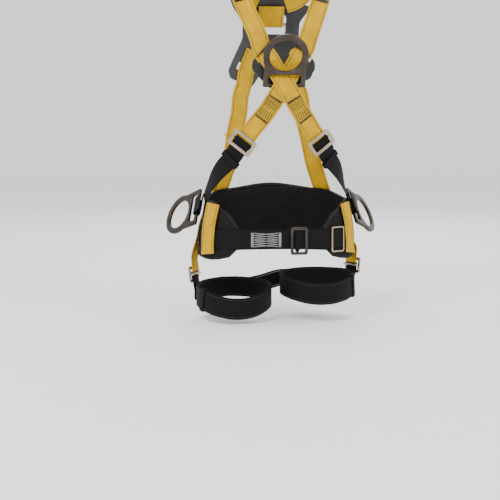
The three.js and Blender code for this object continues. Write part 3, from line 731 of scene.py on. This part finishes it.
# ---------------------------------------------------------------- metalwork
@dataclass(frozen=True)
class Placement:
    """A joint's own frame: X along its axis, Y towards the far end, Z out of the face."""

    matrix: Matrix

    @classmethod
    def of(cls, body: str) -> "Placement":
        """Reads the frame of a hinged piece.

        Args:
            body: the body's name, which is its node's name too.

        Returns:
            The placement.
        """
        joint = next(j for j in frame["joints"] if j["child"] == body)
        pivot, x = Vector(joint["pos_m"]), Vector(joint["axis"]).normalized()
        low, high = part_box(body)
        corners = np.array([v.co for v in frame["nodes"][body].data.vertices])
        middle = Vector((corners.min(0) + corners.max(0)) / 2) if body else (low + high) / 2
        y = middle - pivot
        y = (y - x * y.dot(x)).normalized()
        return cls(Matrix.Translation(pivot) @ Matrix((x, y, x.cross(y))).transposed().to_4x4())


def ring_outline(reach: float, outer: float, leg: float, rail: float, count: int = 44) -> list[tuple[float, float]]:
    """Draws a D-shaped ring's outline round its eye.

    Args:
        reach: distance from the rail to the eye's centre.
        outer: outer radius.
        leg: half the width at the rail.
        rail: half the rail's height.
        count: points on the round end.

    Returns:
        The outline, anticlockwise.
    """
    start = math.radians(-24)
    turn = [start + (math.pi - 2 * start) * k / count for k in range(count + 1)]
    round_end = [(outer * math.cos(a), reach + outer * math.sin(a)) for a in turn]
    corner = 4 * MM
    foot = [(-leg, -rail + corner), (-leg + corner * 0.3, -rail + corner * 0.3), (-leg + corner, -rail)]
    return [*round_end, *foot, *[(-x, y) for x, y in reversed(foot)]]


def circle(centre: tuple[float, float], radius: float, count: int = 48) -> list[tuple[float, float]]:
    """Draws a circle as points.

    Args:
        centre: its centre.
        radius: its radius.
        count: how many points.

    Returns:
        The points.
    """
    turns = [math.tau * k / count for k in range(count)]
    return [(centre[0] + radius * math.cos(a), centre[1] + radius * math.sin(a)) for a in turns]


def rounded_box(left: float, right: float, low: float, high: float, r: float) -> list[tuple[float, float]]:
    """Draws a rectangle with round corners.

    Args:
        left, right, low, high: its sides.
        r: the corners' radius.

    Returns:
        The points, anticlockwise.
    """
    points = []
    for x, y, start in ((right - r, high - r, 0), (left + r, high - r, 90), (left + r, low + r, 180), (right - r, low + r, 270)):
        for k in range(6):
            a = math.radians(start + 18 * k)
            points.append((x + r * math.cos(a), y + r * math.sin(a)))
    return points


def plate_mesh(outline: list, holes: list[list], thick: float, edge: float, segments: int = 3) -> bmesh.types.BMesh:
    """Makes a flat piece with holes and rounded edges, in its own frame.

    Args:
        outline: its outer points.
        holes: the points of each hole.
        thick: its thickness.
        edge: how far its edges are rounded.
        segments: facets across the rounding.

    Returns:
        The mesh.
    """
    bm = bmesh.new()
    edges = []
    for loop in [outline, *holes]:
        verts = [bm.verts.new((x, y, -thick / 2)) for x, y in loop]
        edges += [bm.edges.new((verts[i - 1], verts[i])) for i in range(len(verts))]
    bmesh.ops.triangle_fill(bm, use_beauty=True, use_dissolve=False, edges=edges)
    base = list(bm.faces)
    made = bmesh.ops.extrude_face_region(bm, geom=base, use_keep_orig=True)
    bmesh.ops.translate(bm, verts=[g for g in made["geom"] if isinstance(g, bmesh.types.BMVert)], vec=(0, 0, thick))
    rim = [e for e in bm.edges if len(e.link_faces) == 2 and e.calc_face_angle(0) > 0.9 and abs(e.verts[0].co.z - e.verts[1].co.z) < 1e-7]
    bmesh.ops.bevel(bm, geom=rim, offset=edge, segments=segments, profile=0.5, affect="EDGES", material=-1)
    return bm


@dataclass(frozen=True)
class Ring:
    """A forged attachment ring with a hinge rail, a webbing slot and a round eye."""

    node: str
    finish: Finish
    reach: float = 72 * MM
    eye: float = 37.5 * MM
    outer: float = 52.5 * MM
    leg: float = 50 * MM
    slot: float = 37 * MM
    slot_top: float = 26 * MM
    rail: float = 4.5 * MM
    thick: float = 8 * MM

    def build(self) -> None:
        """Makes the ring with well rounded edges, as a drop forging has."""
        outline = ring_outline(self.reach, self.outer, self.leg, self.rail)
        slot = rounded_box(-self.slot, self.slot, self.rail, self.slot_top, 4 * MM)
        bm = plate_mesh(outline, [circle((0, self.reach), self.eye), slot], self.thick, self.thick * 0.3, 4)
        bm.transform(Placement.of(self.node).matrix)
        finished(self.node + "_forging", bm, self.finish, self.node, (self.node,))


@dataclass(frozen=True)
class Buckle:
    """A stamped frame that webbing threads through."""

    node: str
    finish: Finish
    across: float = 64 * MM
    along: float = 40 * MM
    rail: float = 8 * MM
    thick: float = 4 * MM

    def build(self) -> None:
        """Makes the frame with rounded edges."""
        half, rail = self.across / 2, self.rail
        outline = rounded_box(-half, half, -rail / 2, self.along - rail / 2, 6 * MM)
        window = rounded_box(-half + rail, half - rail, rail / 2, self.along - 1.5 * rail, 2.5 * MM)
        bm = plate_mesh(outline, [window], self.thick, self.thick * 0.32, 3)
        bm.transform(Placement.of(self.node).matrix)
        finished(self.node + "_frame", bm, self.finish, self.node, (self.node,))


@dataclass(frozen=True)
class Bar:
    """The sliding bar inside a buckle, with the webbing that turns over it."""

    node: str
    finish: Finish
    webbing: Finish
    width: float = 44 * MM
    radius: float = 3 * MM

    def build(self) -> None:
        """Makes the bar, with no knurling modelled, and the turn of webbing over it."""
        points = np.array([v.co for v in frame["nodes"][self.node].data.vertices])
        centre = points.mean(0)
        _, _, axes = np.linalg.svd(points - centre, full_matrices=False)
        x = Vector(axes[0])
        slide = Vector(next(j for j in frame["joints"] if j["child"] == self.node)["axis"])
        place = Matrix.Translation(Vector(centre)) @ Matrix((x, slide, x.cross(slide))).transposed().to_4x4()
        reach = max(abs((points - centre) @ axes[0]))
        bm = bmesh.new()
        turn = Matrix.Rotation(math.pi / 2, 4, "Y")
        bmesh.ops.create_cone(bm, cap_ends=True, segments=24, radius1=self.radius, radius2=self.radius, depth=2 * reach, matrix=turn)
        rim = [e for e in bm.edges if e.calc_face_angle(0) > 1]
        bmesh.ops.bevel(bm, geom=rim, offset=0.8 * MM, segments=2, profile=0.5, affect="EDGES", material=-1)
        bm.transform(place)
        finished(self.node + "_rod", bm, self.finish, self.node, (self.node,))
        self.turn_of_webbing(place, x)

    def turn_of_webbing(self, place: Matrix, x: Vector) -> None:
        """Wraps a snug turn of webbing over the bar, bulging out of the window.

        Args:
            place: the bar's frame.
            x: its axis; not used.
        """
        outward = place.to_3x3().col[2]
        sign = 1 if outward.dot(Vector((place.translation.x, place.translation.y, 0))) > 0 else -1
        bm = bmesh.new()
        count, columns = 14, 9
        uv = bm.loops.layers.uv.new("metres")
        inner, outer = self.radius + 0.3 * MM, self.radius + 2.5 * MM
        grid = bmesh.ops.create_grid(bm, x_segments=columns, y_segments=count, size=0.5)
        spots = {v: (v.co.x + 0.5, v.co.y + 0.5) for v in grid["verts"]}
        for face in bm.faces:
            for loop in face.loops:
                across, share = spots[loop.vert]
                loop[uv].uv = (share * math.pi * outer, across * self.width)
        for v, (across, share) in spots.items():
            angle = math.radians(-15 + 210 * share)
            crown = outer + 0.7 * MM * (1 - (2 * across - 1) ** 4)
            v.co = place @ Vector(((across - 0.5) * self.width, crown * math.cos(angle), sign * crown * math.sin(angle)))
        bmesh.ops.solidify(bm, geom=list(bm.faces), thickness=(outer - inner) * 0.8)
        finished(self.node + "_webbing_turn", bm, self.webbing, self.node)


# ---------------------------------------------------------------- moulded plates and sewn keepers
def soften(name: str, finish: Finish, edge: float, segments: int = 3) -> None:
    """Shows a CAD node with its own finish and rounded edges.

    Args:
        name: the node's name.
        finish: its finish.
        edge: how far its edges are rounded.
        segments: facets across the rounding.
    """
    piece = frame["nodes"][name]
    piece.data.materials.clear()
    piece.data.materials.append(finish.build())
    weld = piece.modifiers.new("weld", "WELD")
    weld.merge_threshold = 0.004 * MM
    bevel = piece.modifiers.new("edges", "BEVEL")
    bevel.width, bevel.segments, bevel.limit_method = edge, segments, "ANGLE"
    bevel.angle_limit = math.radians(50)
    LOG.info("%s: softened edges", name)


@dataclass(frozen=True)
class Pad:
    """Foam in a fabric cover, with its edge bound in tape."""

    node: str
    voxel: float = 4.5 * MM
    most: float = 0.9 * MM
    tape: float = 0.2 * MM
    fill: float = 0.55

    def build(self) -> None:
        """Inflates the cover over the foam and binds its edge."""
        bm = welded(self.node)
        self.bind([e for e in bm.edges if e.calc_face_angle(0) > math.radians(55)])
        piece = finished(self.node + "_cover", bm, PAD, ROOT, (self.node,))
        remesh = piece.modifiers.new("cover", "REMESH")
        remesh.mode, remesh.voxel_size, remesh.use_smooth_shade = "VOXEL", self.voxel, True
        self.apply(piece)
        self.inflate(piece)
        smooth = piece.modifiers.new("smooth", "SMOOTH")
        smooth.factor, smooth.iterations = 0.5, 4
        rounder = piece.modifiers.new("rounder", "SUBSURF")
        rounder.levels = rounder.render_levels = 1
        self.apply(piece)
        for face in piece.data.polygons:
            face.use_smooth = True

    def apply(self, piece: bpy.types.Object) -> None:
        """Applies all of a piece's modifiers.

        Args:
            piece: the piece.
        """
        graph = bpy.context.evaluated_depsgraph_get()
        mesh = bpy.data.meshes.new_from_object(piece.evaluated_get(graph))
        piece.modifiers.clear()
        old = piece.data
        piece.data = mesh
        bpy.data.meshes.remove(old)

    def inflate(self, piece: bpy.types.Object) -> None:
        """Lets the cover billow a little under pressure.

        Args:
            piece: the cover.
        """
        start = np.array([v.co for v in piece.data.vertices])
        cloth = piece.modifiers.new("cloth", "CLOTH")
        cloth.settings.use_pressure = True
        cloth.settings.uniform_pressure_force = 4
        cloth.settings.effector_weights.gravity = 0
        cloth.settings.quality = 4
        scene = bpy.context.scene
        for number in range(1, 13):
            scene.frame_set(number)
        graph = bpy.context.evaluated_depsgraph_get()
        moved = np.array([v.co for v in piece.evaluated_get(graph).data.vertices]) - start
        length = np.linalg.norm(moved, axis=1)[:, None]
        moved *= np.minimum(1, self.most / np.maximum(length, 1e-9))
        piece.modifiers.remove(cloth)
        scene.frame_set(1)
        for v, co in zip(piece.data.vertices, start + moved):
            v.co = co

    def bind(self, sharp: list[bmesh.types.BMEdge]) -> None:
        """Wraps the pad's edge in tape, along the middle of its thickness.

        Args:
            sharp: the sharp edges of the pad's CAD mesh.
        """
        rims = {v: [e.other_vert(v) for e in sharp if v in e.verts] for e in sharp for v in e.verts}
        across = {}
        for v, linked in rims.items():
            if len(linked) > 2:
                across[v] = min(linked, key=lambda w: (w.co - v.co).length)
            else:
                near = [w for w in rims if w is not v and w not in linked]
                across[v] = min(near, key=lambda w: (w.co - v.co).length)
        middle = {v: (v.co + across[v].co) / 2 for v in rims}
        thick = float(np.median([(v.co - across[v].co).length for v in rims]))
        ends = [(middle[e.verts[0]], middle[e.verts[1]]) for e in sharp if across[e.verts[0]] is not e.verts[1]]
        finished(self.node + "_binding", threads_mesh(ends, thick / 2 + self.tape), BINDING, ROOT)


@dataclass
class Loop:
    """A short sewn loop or tab of webbing, made from its solid with its edges rounded."""

    node: str
    finish: Finish
    edge: float = 0.6 * MM

    def build(self) -> None:
        """Builds the loop."""
        bm = welded(self.node)
        sharp = [e for e in bm.edges if e.calc_face_angle(0) > math.radians(50)]
        bmesh.ops.bevel(bm, geom=sharp, offset=self.edge, segments=3, affect="EDGES", clamp_overlap=True)
        bmesh.ops.recalc_face_normals(bm, faces=bm.faces)
        for face in bm.faces:
            face.smooth = True
        finished(self.node + "_webbing", bm, self.finish, body_of_node(self.node), (self.node,))


# ---------------------------------------------------------------- the harness
def side_names(*patterns: str) -> list[str]:
    """Lists the right and left names of pieces that come in pairs.

    Args:
        patterns: names with {} for the side.

    Returns:
        The names.
    """
    return [p.format(side) for p in patterns for side in ("right", "left")]


class UpperStraps:
    """The yellow straps over the shoulders and down the back."""

    def build(self) -> None:
        """Lays the straps and sews them."""
        for name in side_names("shoulder_strap_{}"):
            strap = Strap(name, YELLOW, thread=DARK_THREAD).build()
            strap.sew_pack(strap.path.length - 128 * MM, 58 * MM)
        for name in side_names("back_strap_{}"):
            strap = Strap(name, YELLOW, thread=DARK_THREAD).build()
            strap.sew_pack(118 * MM, 42 * MM)
            strap.sew_pack(strap.path.length - 190 * MM, 42 * MM)
        Strap("shoulder_sleeve_right", BLACK, 1.6 * MM, GREY_THREAD, inset=3 * MM).build()
        Strap("shoulder_sleeve_left", LABEL, 1.6 * MM, GREY_THREAD, inset=3 * MM).build()
        for name in side_names("shoulder_{}_ring_loop"):
            Strap(name, BLACK, thread=GREY_THREAD).build()
        for name in side_names("fall_indicator_{}"):
            Loop(name, LOOSE_YELLOW).build()
        for name in side_names("indicator_tag_{}"):
            tag = Strap(name, TAG, 0.8 * MM, DARK_THREAD, inset=2 * MM, dash=2 * MM, pitch=3.4 * MM).build()
            arrow = [((0.8, 0), (0.25, 0)), ((0.25, 0), (0.45, 0.22)), ((0.25, 0), (0.45, -0.22))]
            size = tag.path.length
            tag.sew("arrow", [((a * size, b * size), (c * size, d * size)) for (a, b), (c, d) in arrow], (1,), 1.1 * MM)


class Back:
    """The plate between the shoulder blades and its ring."""

    def build(self) -> None:
        """Shows the plate and builds the ring and its loop."""
        soften("dorsal_plate", PLATE, 1.1 * MM)
        # The back ring's pale steel is painted light.
        Ring("dorsal_d_ring", LIGHT_PAINTED_STEEL).build()
        Strap("dorsal_ring_loop", YELLOW, thread=DARK_THREAD).build()


class Chest:
    """The chest plate, its ring and the adjusters below it."""

    def build(self) -> None:
        """Builds each piece of the chest."""
        soften("chest_plate", CHEST_PLASTIC, 1.2 * MM)
        # The chest ring's dark steel is painted shade.
        Ring("chest_d_ring", SHADE_PAINTED_STEEL).build()
        for side in ("right", "left"):
            Buckle(f"chest_adjuster_{side}", CHAMPAGNE).build()
            Bar(f"chest_adjuster_{side}_bar", CHAMPAGNE, BLACK).build()
            Strap(f"front_strap_{side}", BLACK, thread=GREY_THREAD, stitch=Stitch.NONE).build()
            Loop(f"front_keeper_{side}", LOOSE_BLACK, 0.4 * MM).build()


class Waist:
    """The padded belt with its side rings, strips and buckles."""

    def build(self) -> None:
        """Builds each piece of the belt."""
        Pad("waist_pad").build()
        Strap("back_belt", BLACK, thread=GREY_THREAD).build()
        centre = Strap("back_centre_strap", YELLOW, thread=DARK_THREAD).build()
        centre.sew("upper_tack", centre.bar_tack(8 * MM, 0, 34 * MM), (1,))
        for name in ("back_centre_keeper_upper", "back_centre_keeper_lower"):
            Strap(name, BLACK, 1.6 * MM, stitch=Stitch.NONE).build()
        for name in side_names("hip_strip_{}", "back_strip_{}"):
            Strap(name, YELLOW, thread=DARK_THREAD).build()
        right = Strap("waist_belt_right", BLACK, thread=GREY_THREAD, stitch=Stitch.NONE).build()
        right.sew_pack(right.path.length - 104 * MM, 66 * MM)
        Strap("waist_belt_left", BLACK, thread=GREY_THREAD, stitch=Stitch.NONE).build()
        Buckle("waist_buckle", GUNMETAL, 66 * MM, 42 * MM, 7 * MM, 4 * MM).build()
        Bar("waist_buckle_bar", GUNMETAL, BLACK, 45 * MM).build()
        Buckle("belt_slide", CHAMPAGNE, 62 * MM, 42 * MM, 4 * MM, 3 * MM).build()
        for side in ("right", "left"):
            # The side rings' dark steel is painted shade.
            Ring(f"side_{side}_d_ring", SHADE_PAINTED_STEEL).build()
            Strap(f"side_{side}_ring_loop", BLACK, thread=BLACK_THREAD).build()


class Legs:
    """The two leg loops, their adjusters and the strap between them."""

    def build(self) -> None:
        """Builds each piece of the legs."""
        for side in ("right", "left"):
            Buckle(f"leg_adjuster_{side}", CHAMPAGNE).build()
            Bar(f"leg_adjuster_{side}_bar", CHAMPAGNE, BLACK).build()
            riser = Strap(f"leg_riser_{side}", BLACK, thread=GREY_THREAD, stitch=Stitch.NONE).build()
            riser.sew("end_tack", riser.bar_tack(riser.path.length - 8 * MM, 0, 34 * MM), (1,))
            Strap(f"leg_band_{side}", BLACK, 5 * MM, BLACK_THREAD).build()
            Loop(f"leg_keeper_{side}", LOOSE_BLACK, 0.4 * MM).build()
        Strap("seat_strap", BLACK, thread=GREY_THREAD).build()


class Shoulders:
    """The pads on the shoulders and the small rings on top."""

    def build(self) -> None:
        """Builds the pads and the rings."""
        for side in ("right", "left"):
            Pad(f"shoulder_pad_{side}", voxel=4 * MM).build()
            small = {"reach": 34, "eye": 17, "outer": 29, "leg": 29, "slot": 24, "slot_top": 10, "rail": 2.5, "thick": 5}
            sizes = {name: value * MM for name, value in small.items()}
            Ring(f"shoulder_{side}_d_ring", CHAMPAGNE, **sizes).build()


# ---------------------------------------------------------------- studio
@dataclass(frozen=True)
class Studio:
    """A pale floor, a sweep of soft lights and the camera."""

    azimuth: float = -6.0
    elevation: float = 6.5
    distance: float = 2.6
    aim: tuple[float, float, float] = (-0.065, 0.0, -0.037)
    field_of_view: float = 26.9

    def build(self) -> None:
        """Adds the stage."""
        self.floor()
        self.light("key", (-1.6, -2.2, 2.4), 84, 1.4)
        self.light("fill", (2.2, -1.8, 1.2), 26, 1.8)
        self.light("back", (0.6, 2.4, 2.2), 46, 1.6)
        self.world()
        self.camera()

    def floor(self) -> None:
        """Lays a pale floor just under the harness."""
        bm = bmesh.new()
        bmesh.ops.create_grid(bm, x_segments=2, y_segments=2, size=9, matrix=Matrix.Translation((0, 0, CAD_BOX[0].z - 0.012)))
        mesh = bpy.data.meshes.new("floor")
        bm.to_mesh(mesh)
        bm.free()
        mesh.materials.append(Plastic("pale studio paper", "#fbfbfa", "#f8f8f7", 0.9, grain=2 * MM).build())
        floor = bpy.data.objects.new("floor", mesh)
        bpy.context.scene.collection.objects.link(floor)

    def light(self, name: str, place: tuple[float, float, float], power: float, size: float) -> None:
        """Adds one soft light that points at the harness.

        Args:
            name: the light's name.
            place: where it stands.
            power: its power in watts.
            size: the side of its square.
        """
        lamp = bpy.data.lights.new(name, "AREA")
        lamp.energy, lamp.size = power, size
        holder = bpy.data.objects.new(name, lamp)
        holder.location = place
        holder.rotation_euler = (Vector((0, 0, 0.25)) - Vector(place)).to_track_quat("-Z", "Y").to_euler()
        bpy.context.scene.collection.objects.link(holder)

    def world(self) -> None:
        """Fills the room with even white light."""
        world = bpy.data.worlds.new("studio")
        world.use_nodes = True
        world.node_tree.nodes["Background"].inputs["Color"].default_value = rgba("#ffffff")
        world.node_tree.nodes["Background"].inputs["Strength"].default_value = 1.25
        bpy.context.scene.world = world

    def camera(self) -> None:
        """Aims the camera at the harness's front."""
        a, e = math.radians(self.azimuth), math.radians(self.elevation)
        away = Vector((math.sin(a) * math.cos(e), -math.cos(a) * math.cos(e), math.sin(e)))
        lens = bpy.data.cameras.new("camera")
        lens.angle = math.radians(self.field_of_view)
        holder = bpy.data.objects.new("camera", lens)
        holder.location = Vector(self.aim) + away * self.distance
        holder.rotation_euler = (-away).to_track_quat("-Z", "Y").to_euler()
        bpy.context.scene.collection.objects.link(holder)
        bpy.context.scene.camera = holder


def main() -> None:
    """Builds the whole scene."""
    logging.basicConfig(level=logging.INFO, format="%(name)s %(message)s")
    for part in (UpperStraps(), Shoulders(), Back(), Chest(), Waist(), Legs(), Studio()):
        part.build()


if __name__ == "__main__":
    main()
